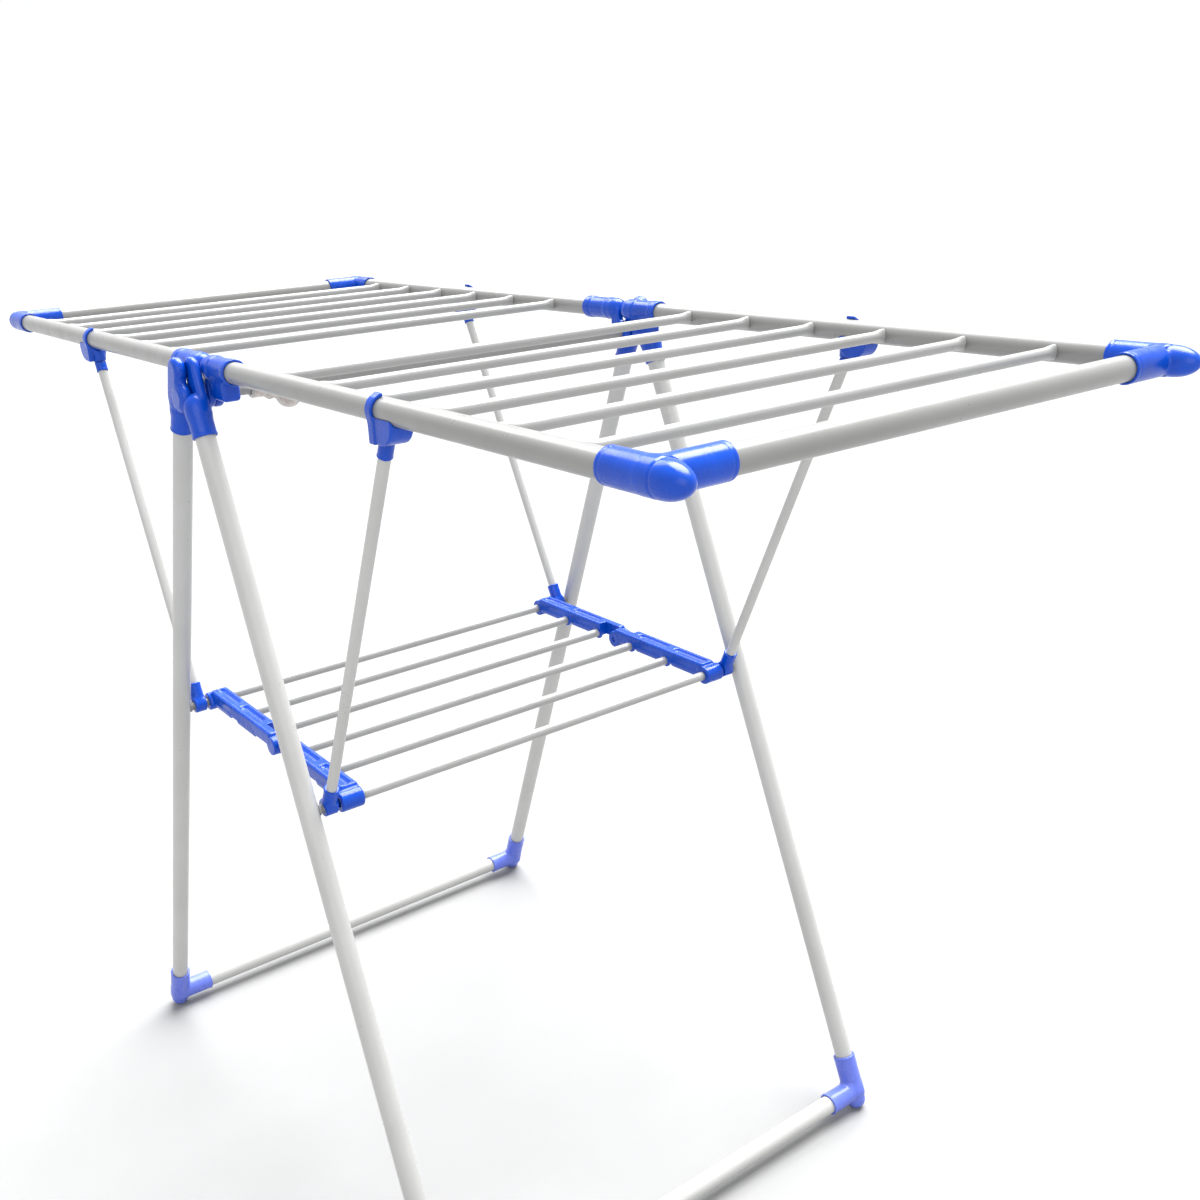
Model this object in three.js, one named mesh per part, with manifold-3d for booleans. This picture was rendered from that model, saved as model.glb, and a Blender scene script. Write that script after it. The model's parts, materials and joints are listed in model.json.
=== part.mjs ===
// Folding clothes drying rack: two tube leg frames joined by an axle, two wings of drying
// rods that pivot on the same axle, a folding lower shelf and four wing struts.
// Millimetres, +Z up. X runs along the wings, Y along the drying rods. Z = 0 is the floor.
import * as THREE from 'three';
import { mergeVertices } from 'three/addons/utils/BufferGeometryUtils.js';
import Module from 'manifold-3d';

const wasm = await Module();
wasm.setup();

// ---- driving dimensions -------------------------------------------------------------
const WING_HEIGHT = 980;         // axis of the wing rails above the floor
const AXLE_DROP = 28;            // axle axis below the wing rails
const AXLE_RADIUS = 6.5;
const AXLE_HALF = 307;           // half length of the axle
const FOOT_SPREAD = 385;         // floor bar axis to the centre plane
const FOOT_HEIGHT = 22;          // floor bar axis above the floor
const LEG_OFFSET = 15;           // leg axis beside the axle
const LEG_PLANE = 300;           // leg axes to the centre plane, along Y
const LEG_RADIUS = 10.75;
const TUBE_WALL = 0.6;
const RAIL_RADIUS = 11;
const RAIL_PLANE = 276;          // wing rails to the centre plane, along Y
const ROD_RADIUS = 5.5;
const ROD_COUNT = 6;
const FIRST_ROD = 137;           // first rod from the centre plane
const ROD_PITCH = 96.2;
const LAST_GAP = 94;             // last rod to the end tube's axis
const WING_LENGTH = FIRST_ROD + (ROD_COUNT - 1) * ROD_PITCH + LAST_GAP;
const CORNER_NOSE = 33;          // corner cap reach past the end tube axis
const CORNER_SLEEVE = 57;        // corner cap reach along the end tube
const SLEEVE_RADIUS = 13.4;      // outside of the plastic sockets
const SLEEVE_LENGTH = 46;
const SHELF_HEIGHT = 545;
const SHELF_PLANE = 251;         // shelf bars to the centre plane, along Y
const SHELF_BAR_WIDTH = 22;
const SHELF_BAR_BELOW = 5;       // bar edges below and above the rod axes
const SHELF_BAR_ABOVE = 15;
const SHELF_WALL = 3;
const SHELF_LAP = 30;            // half lap on each side of the middle knuckle
const KNUCKLE_RADIUS = 11;
const STRUT_RADIUS = 5.75;
const STRUT_PLANE = 277;         // strut pivots to the centre plane, along Y
const STRUT_SOCKET_RADIUS = 8;
const STRUT_SOCKET_LENGTH = 38;
const STRUT_EYE_RADIUS = 9.5;
const STRUT_EYE_HALF = 7;        // half thickness of the strut's lower eye
const STRUT_TOP_INSET = 2;       // strut tops sit this far inside the rail axes
const STRUT_CLEARANCE = 0.6;     // between a strut's top and its clip
const CLIP_DROP = 27;            // underside of a strut clip below the rail axis
const CLIP_HALF = 17;            // half length of a strut clip along its rail
const CLIP_WIDTH = 22;
const GAP = 0.3;                 // between pieces that rest on each other

const AXLE_Z = WING_HEIGHT - AXLE_DROP;
const FOOT_REACH = Math.hypot(FOOT_SPREAD, AXLE_Z - FOOT_HEIGHT);
const LEG_ANGLE = Math.atan2(FOOT_SPREAD, AXLE_Z - FOOT_HEIGHT) - Math.asin(LEG_OFFSET / FOOT_REACH);
const LEG_LENGTH = Math.sqrt(FOOT_REACH ** 2 - LEG_OFFSET ** 2);
const SHELF_DOWN = (AXLE_Z - SHELF_HEIGHT + LEG_OFFSET * Math.sin(LEG_ANGLE)) / Math.cos(LEG_ANGLE);
const SHELF_HALF = LEG_OFFSET * Math.cos(LEG_ANGLE) + SHELF_DOWN * Math.sin(LEG_ANGLE);
const SHELF_PITCH = (2 * SHELF_HALF) / (ROD_COUNT - 1);
const CLIP_REACH = FIRST_ROD + 2.5 * ROD_PITCH + 6;
const SIDES = { tube: 20, rod: 10, plastic: 16 };

// ---- materials ----------------------------------------------------------------------
const material = (color, roughness, metalness) => new THREE.MeshStandardMaterial({ color, roughness, metalness });
const white = material(0xe6e7e4, 0.35, 0.1);
const blue = material(0x1b4fdc, 0.28, 0);
const clear = material(0xcfc9c4, 0.3, 0);

// ---- solids: manifold bodies made from three.js geometries ----------------------------
function solid(geometry) {
  const bare = geometry.index ? geometry.toNonIndexed() : geometry.clone();
  bare.deleteAttribute('normal');
  bare.deleteAttribute('uv');
  const merged = mergeVertices(bare, 1e-4);
  return new wasm.Manifold(new wasm.Mesh({
    numProp: 3,
    vertProperties: new Float32Array(merged.attributes.position.array),
    triVerts: new Uint32Array(merged.index.array),
  }));
}

function geometryOf(body) {
  const mesh = body.getMesh();
  const geometry = new THREE.BufferGeometry();
  geometry.setAttribute('position', new THREE.BufferAttribute(new Float32Array(mesh.vertProperties), 3));
  geometry.setIndex(new THREE.BufferAttribute(new Uint32Array(mesh.triVerts), 1));
  geometry.computeVertexNormals();
  return geometry;
}

const unite = (...bodies) => bodies.reduce((whole, body) => whole.add(body));
const cut = (body, ...cutters) => cutters.reduce((rest, cutter) => rest.subtract(cutter), body);

// A round bar from point a to point b.
function bar(radius, a, b, sides = SIDES.plastic) {
  const from = new THREE.Vector3(...a);
  const to = new THREE.Vector3(...b);
  const along = to.clone().sub(from);
  const geometry = new THREE.CylinderGeometry(radius, radius, along.length(), sides);
  const turn = new THREE.Quaternion().setFromUnitVectors(new THREE.Vector3(0, 1, 0), along.normalize());
  geometry.applyQuaternion(turn);
  geometry.translate(...from.add(to).multiplyScalar(0.5).toArray());
  return solid(geometry);
}

function ball(radius, centre) {
  const geometry = new THREE.SphereGeometry(radius, SIDES.plastic, SIDES.plastic / 2);
  geometry.rotateX(Math.PI / 2);
  geometry.translate(...centre);
  return solid(geometry);
}

function block(low, high) {
  const size = high.map((v, i) => v - low[i]);
  const geometry = new THREE.BoxGeometry(...size);
  geometry.translate(...low.map((v, i) => v + size[i] / 2));
  return solid(geometry);
}

const hollow = (radius, a, b, sides) => {
  const reach = new THREE.Vector3(...b).sub(new THREE.Vector3(...a)).setLength(1).toArray();
  const before = a.map((v, i) => v - reach[i]);
  const after = b.map((v, i) => v + reach[i]);
  return cut(bar(radius, a, b, sides), bar(radius - TUBE_WALL, before, after, sides));
};

// A rounded nose at the end of a sleeve: a half ball stretched along X.
function nose(radius, length, centre) {
  const geometry = new THREE.SphereGeometry(radius, SIDES.plastic, SIDES.plastic / 2);
  geometry.rotateZ(Math.PI / 2);
  geometry.scale(length / radius, 1, 1);
  geometry.translate(...centre);
  return solid(geometry);
}

// ---- scene helpers ------------------------------------------------------------------
const rack = new THREE.Group();
const ENDS = [['near', -1], ['far', 1]];
const WINGS = [['left', -1], ['right', 1]];
const LEGS = [['a', -1], ['b', 1]];

function place(name, body, look, position = [0, 0, 0], parent = rack) {
  const mesh = new THREE.Mesh(geometryOf(body), look);
  mesh.name = name;
  mesh.position.set(...position);
  parent.add(mesh);
  return mesh;
}

// Each base solid is drawn for the right-hand, far side; the others are its mirror images.
function handed(body, sideX, sideY) {
  const acrossX = sideX < 0 ? body.mirror([1, 0, 0]) : body;
  return sideY < 0 ? acrossX.mirror([0, 1, 0]) : acrossX;
}

// ---- leg frames ---------------------------------------------------------------------
const LEG_TOP = 18;              // leg tube starts this far down its own axis
const LEG_END = 14;              // and stops this far short of the floor bar's axis
const HEAD_LENGTH = 47;          // head's sleeve below the axle
const LOBE_TOP = 24;             // centre of a head's rounded top above the axle
const STUB_RADIUS = 5;

// Leg tube in the leg's own frame, the axle at the origin, with the welded stub that
// carries the shelf. Frame A's stub is the shelf's hinge pin; frame B's ends beside it.
function legTube(stubEnd) {
  const x = LEG_OFFSET;
  const tube = hollow(LEG_RADIUS, [x, 0, -LEG_TOP], [x, 0, LEG_END - LEG_LENGTH], SIDES.tube);
  const stub = bar(STUB_RADIUS, [x, 0, -SHELF_DOWN], [x, stubEnd - LEG_PLANE, -SHELF_DOWN], SIDES.rod);
  return unite(tube, stub);
}

// Plastic head on a leg's top: a sleeve and a half-thickness lobe that turns on the axle.
// Frame A's lobe fills the outer half and frame B's the inner half.
function legHead(isOuter) {
  const x = LEG_OFFSET;
  const eyeRadius = 16;
  const shoulder = -4;
  const inside = RAIL_PLANE + SLEEVE_RADIUS + GAP - LEG_PLANE;
  const own = isOuter ? [GAP, SLEEVE_RADIUS] : [inside, -GAP];
  const other = isOuter ? [-20, 0] : [0, 20];
  const sleeve = bar(SLEEVE_RADIUS, [x, 0, -HEAD_LENGTH], [x, 0, shoulder]);
  const relief = bar(eyeRadius + 0.5, [0, other[0], 0], [0, other[1], 0]);
  const lobe = unite(
    bar(SLEEVE_RADIUS, [x, own[0], LOBE_TOP], [x, own[1], LOBE_TOP]),
    block([x - SLEEVE_RADIUS, own[0], shoulder - 1], [x + SLEEVE_RADIUS, own[1], LOBE_TOP]),
    bar(eyeRadius, [0, own[0], 0], [0, own[1], 0]),
  );
  const boreDepth = isOuter ? AXLE_HALF - LEG_PLANE + GAP : 20;
  const axleBore = bar(AXLE_RADIUS + 0.4, [0, -20, 0], [0, boreDepth, 0]);
  const tubeBore = bar(LEG_RADIUS + GAP, [x, 0, -HEAD_LENGTH - 1], [x, 0, GAP - LEG_TOP]);
  return cut(unite(cut(sleeve, relief), lobe), axleBore, tubeBore);
}

// Foot elbow drawn about the crossing of the leg and floor bar axes, floor flat included.
function footElbow() {
  const down = [Math.sin(LEG_ANGLE), 0, -Math.cos(LEG_ANGLE)];
  const at = (distance) => down.map((v) => v * distance);
  const toeRadius = 12;
  const toe = (FOOT_HEIGHT - toeRadius + 1) / Math.cos(LEG_ANGLE);
  const body = unite(
    bar(SLEEVE_RADIUS, at(-SLEEVE_LENGTH), at(4)),
    bar(toeRadius, at(0), at(toe)),
    ball(toeRadius, at(toe)),
    bar(SLEEVE_RADIUS - 0.4, [0, -SLEEVE_LENGTH, 0], [0, 6, 0]),
  );
  return cut(
    body,
    bar(LEG_RADIUS + GAP, at(-SLEEVE_LENGTH - 1), at(GAP - LEG_END)),
    bar(LEG_RADIUS + GAP, [0, -SLEEVE_LENGTH - 1, 0], [0, GAP - LEG_END, 0]),
    block([-40, -40, -FOOT_HEIGHT - 20], [40, 40, -FOOT_HEIGHT]),
  );
}

for (const [frame, sideX] of LEGS) {
  const isA = frame === 'a';
  const stubEnd = isA ? SHELF_PLANE - SHELF_BAR_WIDTH / 2 + 5 : SHELF_PLANE + 17;
  for (const [end, sideY] of ENDS) {
    const leaning = new THREE.Group();
    leaning.position.set(0, sideY * LEG_PLANE, AXLE_Z);
    leaning.rotation.y = -sideX * LEG_ANGLE;
    rack.add(leaning);
    place(`leg_${frame}_${end}`, handed(legTube(stubEnd), sideX, sideY), white, [0, 0, 0], leaning);
    place(`leg_head_${frame}_${end}`, handed(legHead(isA), sideX, sideY), blue, [0, 0, 0], leaning);
    const foot = [sideX * FOOT_SPREAD, sideY * LEG_PLANE, FOOT_HEIGHT];
    place(`foot_${frame}_${end}`, handed(footElbow(), sideX, sideY), blue, foot);
  }
  const halfBar = LEG_PLANE - LEG_END;
  const floorBar = hollow(LEG_RADIUS, [0, -halfBar, 0], [0, halfBar, 0], SIDES.tube);
  place(`floor_bar_${frame}`, floorBar, white, [sideX * FOOT_SPREAD, 0, FOOT_HEIGHT]);
}

// ---- axle and the clear hanger clip on it ---------------------------------------------
const axle = hollow(AXLE_RADIUS, [0, -AXLE_HALF, 0], [0, AXLE_HALF, 0], SIDES.plastic);
place('axle', axle, white, [0, 0, AXLE_Z]);

function hangerClip() {
  const lobe = [0, 20, -12];
  return cut(
    unite(
      bar(11, [0, -24, 0], [0, -4, 0]),
      bar(9.5, [0, -6, -3], [0, 8, -6]),
      ball(15, lobe),
    ),
    bar(AXLE_RADIUS + GAP, [0, -60, 0], [0, 60, 0]),
  );
}
place('hanger_clip', hangerClip(), clear, [0, -210, AXLE_Z]);

// ---- wings --------------------------------------------------------------------------
const RAIL_START = 16;
const SOCKET_REACH = 70;
const CHEEK = 9.5;               // half thickness of a socket at the axle
const LUG_START = 24;            // thumb lug under the right sockets
const LUG_END = 58;
const LUG_DROP = 30;             // lug's underside below the rail axis

// Socket that carries a rail's inner end and turns on the axle. The right wing's eyes fill
// the outer half of the thickness and the left wing's the inner half.
function wingSocket(isRight) {
  const z = AXLE_DROP;
  const radius = SLEEVE_RADIUS - 0.4;
  const start = radius + 1;
  const own = isRight ? [GAP, CHEEK] : [-CHEEK, -GAP];
  const lug = block([LUG_START, -CHEEK, z - LUG_DROP], [LUG_END, CHEEK, z - 4]);
  return cut(
    unite(
      ...(isRight ? [lug] : []),
      bar(radius, [start, 0, z], [SOCKET_REACH, 0, z]),
      ball(radius, [start, 0, z]),
      block([1, own[0], 0], [16, own[1], z]),
      bar(14, [0, own[0], 0], [0, own[1], 0]),
    ),
    bar(RAIL_RADIUS + GAP, [RAIL_START - GAP, 0, z], [SOCKET_REACH + 1, 0, z]),
    bar(AXLE_RADIUS + 0.4, [0, -20, 0], [0, 20, 0]),
  );
}

// Corner cap: rail sleeve along X with a long rounded nose, and a sleeve for the end tube.
function wingCorner() {
  const radius = SLEEVE_RADIUS;
  return cut(
    unite(
      bar(radius, [-SLEEVE_LENGTH, 0, 0], [8, 0, 0]),
      nose(radius, CORNER_NOSE - 8, [8, 0, 0]),
      bar(radius, [0, -CORNER_SLEEVE, 0], [0, 0, 0]),
    ),
    bar(RAIL_RADIUS + GAP, [-SLEEVE_LENGTH - 1, 0, 0], [GAP - LEG_END, 0, 0]),
    bar(RAIL_RADIUS + GAP, [0, -CORNER_SLEEVE - 1, 0], [0, GAP - LEG_END, 0]),
  );
}

// Rod coped at both ends to the round of the rails.
function wingRod() {
  const saddles = [-1, 1].map((s) => bar(RAIL_RADIUS + GAP, [-20, s * RAIL_PLANE, 0], [20, s * RAIL_PLANE, 0]));
  return cut(hollow(ROD_RADIUS, [0, -RAIL_PLANE, 0], [0, RAIL_PLANE, 0], SIDES.rod), ...saddles);
}

// Strut clip: an open strap round the rail over a rounded cradle with a flat underside.
function strutClip(inward) {
  const half = CLIP_HALF;
  const outline = new THREE.Shape();
  outline.moveTo(-half, -4);
  outline.lineTo(-half, -15);
  outline.quadraticCurveTo(-half, -CLIP_DROP, -half + 10, -CLIP_DROP);
  outline.lineTo(half - 10, -CLIP_DROP);
  outline.quadraticCurveTo(half, -CLIP_DROP, half, -15);
  outline.lineTo(half, -4);
  outline.closePath();
  const cradle = new THREE.ExtrudeGeometry(outline, { depth: CLIP_WIDTH, bevelEnabled: false, curveSegments: 5 });
  cradle.rotateX(Math.PI / 2);
  cradle.translate(0, CLIP_WIDTH / 2, 0);
  const strap = bar(RAIL_RADIUS + 3.4, [-8, 0, 0], [8, 0, 0]);
  const mouth = block([-20, 0, -7], [20, 20, 7]);
  const opening = inward < 0 ? mouth.mirror([0, 1, 0]) : mouth;
  return cut(unite(solid(cradle), cut(strap, opening)), bar(RAIL_RADIUS + GAP, [-30, 0, 0], [30, 0, 0]));
}

for (const [wing, sideX] of WINGS) {
  const wingGroup = new THREE.Group();
  wingGroup.position.set(0, 0, WING_HEIGHT);
  rack.add(wingGroup);
  const railEnd = WING_LENGTH - LEG_END;
  for (const [end, sideY] of ENDS) {
    const y = sideY * RAIL_PLANE;
    const rail = hollow(RAIL_RADIUS, [sideX * RAIL_START, 0, 0], [sideX * railEnd, 0, 0], SIDES.tube);
    place(`rail_${wing}_${end}`, rail, white, [0, y, 0], wingGroup);
    const socket = handed(wingSocket(sideX > 0), sideX, sideY);
    place(`rail_socket_${wing}_${end}`, socket, blue, [0, y, -AXLE_DROP], wingGroup);
    const corner = handed(wingCorner(), sideX, sideY);
    place(`corner_${wing}_${end}`, corner, blue, [sideX * WING_LENGTH, y, 0], wingGroup);
    place(`strut_clip_${wing}_${end}`, strutClip(-sideY), blue, [sideX * CLIP_REACH, y, 0], wingGroup);
  }
  const endHalf = RAIL_PLANE - LEG_END;
  const endTube = hollow(RAIL_RADIUS, [0, -endHalf, 0], [0, endHalf, 0], SIDES.tube);
  place(`end_tube_${wing}`, endTube, white, [sideX * WING_LENGTH, 0, 0], wingGroup);
  for (let i = 0; i < ROD_COUNT; i += 1) {
    const x = sideX * (FIRST_ROD + i * ROD_PITCH);
    place(`wing_rod_${wing}_${i + 1}`, wingRod(), white, [x, 0, 0], wingGroup);
  }
}

// ---- shelf --------------------------------------------------------------------------
// Half of a shelf side bar, drawn from its leg pivot at the origin towards -X, for the far
// side: an upside-down channel with an eye at the leg and a half-lapped knuckle in the middle.
function shelfBar(isOuter) {
  const halfWidth = SHELF_BAR_WIDTH / 2;
  const top = SHELF_BAR_ABOVE;
  const low = -SHELF_BAR_BELOW;
  const outline = new THREE.Shape();
  outline.moveTo(-halfWidth, low);
  outline.lineTo(halfWidth, low);
  outline.lineTo(halfWidth, top - 7);
  outline.quadraticCurveTo(halfWidth, top, halfWidth - 7, top);
  outline.lineTo(7 - halfWidth, top);
  outline.quadraticCurveTo(-halfWidth, top, -halfWidth, top - 7);
  outline.closePath();
  const profile = new THREE.ExtrudeGeometry(outline, { depth: SHELF_HALF - 2, bevelEnabled: false, curveSegments: 4 });
  profile.rotateX(Math.PI / 2);
  profile.rotateZ(-Math.PI / 2);
  const inner = halfWidth - SHELF_WALL;
  const channel = block([-SHELF_HALF + SHELF_LAP + 3, -inner, low - 1], [-15, inner, top - SHELF_WALL]);
  const own = isOuter ? [GAP, halfWidth] : [-halfWidth, -GAP];
  const other = isOuter ? [-30, GAP] : [-GAP, 30];
  const knuckle = bar(KNUCKLE_RADIUS, [-SHELF_HALF, own[0], 0], [-SHELF_HALF, own[1], 0]);
  const lap = block([-SHELF_HALF - 30, other[0], -40], [-SHELF_HALF + SHELF_LAP, other[1], 40]);
  const eye = bar(KNUCKLE_RADIUS, [0, -halfWidth, 0], [0, halfWidth + 4, 0]);
  const half = unite(cut(unite(solid(profile), eye), channel, lap), knuckle);
  const pinRadius = 3;
  const eyeBore = bar(STUB_RADIUS + GAP, [0, 4 - halfWidth, 0], [0, 30, 0]);
  if (isOuter) {
    return unite(cut(half, eyeBore), bar(pinRadius, [-SHELF_HALF, 1, 0], [-SHELF_HALF, 1 - halfWidth, 0]));
  }
  return cut(half, bar(pinRadius + GAP, [-SHELF_HALF, -30, 0], [-SHELF_HALF, 30, 0]));
}

const rodHalf = SHELF_PLANE - SHELF_BAR_WIDTH / 2 - GAP;
for (const [frame, sideX] of LEGS) {
  const side = sideX < 0 ? 'left' : 'right';
  for (const [end, sideY] of ENDS) {
    const half = handed(shelfBar(frame === 'a'), sideX, sideY);
    const pivot = [sideX * SHELF_HALF, sideY * SHELF_PLANE, SHELF_HEIGHT];
    place(`shelf_bar_${side}_${end}`, half, blue, pivot);
  }
  for (let i = 0; i < ROD_COUNT / 2; i += 1) {
    const rod = hollow(ROD_RADIUS, [0, -rodHalf, 0], [0, rodHalf, 0], SIDES.rod);
    const x = sideX * (SHELF_HALF - i * SHELF_PITCH);
    place(`shelf_rod_${side}_${i + 1}`, rod, white, [x, 0, SHELF_HEIGHT]);
  }
}

// ---- wing struts ----------------------------------------------------------------------
// Strut with its lower eye on the leg stub and its top ferrule under the rail clip, drawn
// about the eye for the right, far side.
function strut() {
  const top = [CLIP_REACH - SHELF_HALF, RAIL_PLANE - STRUT_PLANE - STRUT_TOP_INSET, WING_HEIGHT - SHELF_HEIGHT];
  const length = Math.hypot(...top);
  const at = (distance) => top.map((v) => (v * distance) / length);
  const lid = WING_HEIGHT - SHELF_HEIGHT - CLIP_DROP - STRUT_CLEARANCE;
  return cut(
    unite(
      bar(STRUT_EYE_RADIUS, [0, -STRUT_EYE_HALF, 0], [0, STRUT_EYE_HALF, 0]),
      bar(STRUT_SOCKET_RADIUS, at(4), at(STRUT_SOCKET_LENGTH)),
      bar(STRUT_RADIUS, at(10), at(length - 40), SIDES.rod),
      bar(STRUT_SOCKET_RADIUS, at(length - 66), at(length - 20)),
    ),
    block([-100, -100, lid], [400, 100, lid + 100]),
    bar(STUB_RADIUS + GAP, [0, -20, 0], [0, 20, 0]),
  );
}

for (const [wing, sideX] of WINGS) {
  for (const [end, sideY] of ENDS) {
    const pivot = [sideX * SHELF_HALF, sideY * STRUT_PLANE, SHELF_HEIGHT];
    place(`strut_${wing}_${end}`, handed(strut(), sideX, sideY), white, pivot);
  }
}

export default rack;
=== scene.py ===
import json
import math

import bpy
import numpy as np
from mathutils import Matrix, Vector


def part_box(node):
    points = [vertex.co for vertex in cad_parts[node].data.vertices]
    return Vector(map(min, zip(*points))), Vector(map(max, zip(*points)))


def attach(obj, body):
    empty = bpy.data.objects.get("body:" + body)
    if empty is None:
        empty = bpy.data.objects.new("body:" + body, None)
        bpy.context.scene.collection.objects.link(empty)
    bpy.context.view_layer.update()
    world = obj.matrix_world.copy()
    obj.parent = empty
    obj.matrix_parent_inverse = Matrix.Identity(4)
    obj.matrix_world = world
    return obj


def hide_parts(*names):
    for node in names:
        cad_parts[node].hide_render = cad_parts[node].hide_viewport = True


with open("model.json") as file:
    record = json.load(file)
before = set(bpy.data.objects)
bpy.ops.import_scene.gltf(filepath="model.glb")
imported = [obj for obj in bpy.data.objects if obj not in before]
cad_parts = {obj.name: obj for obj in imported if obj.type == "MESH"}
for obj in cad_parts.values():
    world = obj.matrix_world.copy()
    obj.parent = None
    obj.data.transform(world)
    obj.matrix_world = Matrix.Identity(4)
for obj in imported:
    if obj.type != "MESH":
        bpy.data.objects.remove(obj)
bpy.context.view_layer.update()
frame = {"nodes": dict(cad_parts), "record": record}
MM = 0.001


# ---- sizes taken from the frame, in millimetres ---------------------------------------
def middle(node):
    low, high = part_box(node)
    return (low + high) / 2 / MM


AXLE_Z = middle("axle").z
AXLE_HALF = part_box("axle")[1].y / MM
WING_HEIGHT = middle("rail_right_far").z
RAIL_PLANE = middle("rail_right_far").y
WING_LENGTH = middle("end_tube_right").x
CLIP_REACH = middle("strut_clip_right_far").x
FOOT_SPREAD = middle("floor_bar_b").x
FOOT_HEIGHT = middle("floor_bar_b").z
LEG_PLANE = middle("leg_head_a_far").y
SHELF_HEIGHT = middle("shelf_rod_right_1").z
SHELF_HALF = middle("shelf_rod_right_1").x
ROD_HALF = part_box("shelf_rod_right_1")[1].y / MM
SHELF_PITCH = SHELF_HALF - middle("shelf_rod_right_2").x
DROP = WING_HEIGHT - AXLE_Z

# tube and rod stock
LEG_R = 10.75
RAIL_R = 11.0
ROD_R = 5.5
AXLE_R = 6.5
STRUT_R = 5.75
STUB_R = 5.0
WALL = 0.6
STRUT_WALL = 1.0

# moulded fittings
GAP = 0.3                # between a fitting and the tube or pin inside it
BORE_EASE = 0.4          # between a turning eye and the axle
SLEEVE_R = 13.4
SLEEVE = 46.0            # length of a foot's or corner's sleeve along the leg or rail
TUBE_SHORT = 14.0        # a tube stops this far before a corner's middle
LEG_OFFSET = 15.0        # from the axle's line to a leg's line
LEG_TOP = 18.0           # a leg's tube starts this far below the axle
HEAD_LENGTH = 47.0       # a leg head's sleeve ends this far below the axle
HEAD_EYE_R = 16.0
LOBE_TOP = 24.0          # middle of a head's rounded top, above the axle
TOE_R = 12.0
CORNER_SLEEVE = 57.0
CORNER_NOSE = 33.0
RAIL_START = 16.0        # from the axle's line to a rail's inner end
SOCKET_REACH = 70.0
SOCKET_EYE_R = 14.0
CHEEK = 9.5              # half thickness of the sockets' eyes
CLIP_DROP = 27.0         # from a rail's middle to the clip's flat underside
STRAP_LOW, STRAP_HIGH = -18.0, -8.0
CLIP_EASE = 0.6          # between a clip and the strut's top
HANGER_Y = -210.0

# shelf bars and struts
SHELF_PLANE = 251.0
BAR_HALF = 11.0
BAR_BELOW, BAR_ABOVE = 5.0, 15.0
KNUCKLE_R = 11.0
KNUCKLE_PIN_R = 3.0
LAP = 30.0               # length of the half-thickness overlap at the middle knuckle
STRUT_PLANE = 277.0
STRUT_INSET = 2.0        # a strut's top lies this far inside the rail's line
FERRULE_R = 8.0
PIN_END = {"a": SHELF_PLANE - BAR_HALF + 5, "b": SHELF_PLANE + 17}

WING_RODS, SHELF_RODS = 6, 3
THROUGH = 20.0           # a cutter's reach past any wall it has to pass
CRISP = 0.1              # edge radius of a cutter

FOOT_REACH = math.hypot(FOOT_SPREAD, AXLE_Z - FOOT_HEIGHT)
LEG_ANGLE = math.atan2(FOOT_SPREAD, AXLE_Z - FOOT_HEIGHT) - math.asin(LEG_OFFSET / FOOT_REACH)
LEG_LENGTH = math.sqrt(FOOT_REACH**2 - LEG_OFFSET**2)
SHELF_DOWN = (AXLE_Z - SHELF_HEIGHT + LEG_OFFSET * math.sin(LEG_ANGLE)) / math.cos(LEG_ANGLE)

ENDS = (("near", -1), ("far", 1))
WINGS = (("left", -1), ("right", 1))
LEGS = (("a", -1, "left"), ("b", 1, "right"))


# ---- distance fields: moulded shapes with filleted joins -------------------------------
def cyl(p, a, b, r, soft=0.8):
    a, b = np.array(a, float), np.array(b, float)
    length = np.linalg.norm(b - a)
    u = (b - a) / length
    q = p - a
    t = q @ u
    radial = np.linalg.norm(q - t[:, None] * u, axis=1) - (r - soft)
    axial = np.abs(t - length / 2) - (length / 2 - soft)
    out = np.hypot(np.maximum(radial, 0), np.maximum(axial, 0))
    return out + np.minimum(np.maximum(radial, axial), 0) - soft


def pill(p, a, b, r):
    a, b = np.array(a, float), np.array(b, float)
    t = np.clip((p - a) @ (b - a) / ((b - a) @ (b - a)), 0, 1)
    return np.linalg.norm(p - a - t[:, None] * (b - a), axis=1) - r


def orb(p, c, r):
    return np.linalg.norm(p - np.array(c, float), axis=1) - r


def egg(p, c, radii):
    q = p - np.array(c, float)
    s = np.array(radii, float)
    k = np.linalg.norm(q / s, axis=1)
    return k * (k - 1) / np.maximum(np.linalg.norm(q / s**2, axis=1), 1e-9)


def brick(p, low, high, soft=1.0):
    low, high = np.array(low, float), np.array(high, float)
    q = np.abs(p - (low + high) / 2) - ((high - low) / 2 - soft)
    return np.linalg.norm(np.maximum(q, 0), axis=1) + np.minimum(q.max(1), 0) - soft


def plate(p, low, high, outline, soft):
    """An outline's field in the XZ plane given thickness along Y, with rounded edges."""
    side = np.abs(p[:, 1] - (low + high) / 2) - ((high - low) / 2 - soft)
    edge = outline + soft
    out = np.hypot(np.maximum(edge, 0), np.maximum(side, 0))
    return out + np.minimum(np.maximum(edge, side), 0) - soft


def join(k, *fields):
    """Union with a fillet of about k."""
    whole = fields[0]
    for f in fields[1:]:
        h = np.maximum(k - np.abs(whole - f), 0) / k
        whole = np.minimum(whole, f) - h * h * k / 4
    return whole


def carve(body, *tools, k=0.5):
    """The body less the tools, with edges eased by about k."""
    return -join(k, -body, *tools)


def ring(p, at, axis, r, bead):
    """A moulded bead round a sleeve's mouth."""
    q = p - np.array(at, float)
    t = q @ np.array(axis, float)
    radial = np.linalg.norm(q - t[:, None] * np.array(axis, float), axis=1)
    return np.hypot(radial - r, t) - bead


SKIN_MARGIN = 2.3        # cells left free round a shape
SLOPE_STEP = 0.02        # half the span that a field's slope is measured over
PULLS = 3                # times that each point is moved onto the surface


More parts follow.
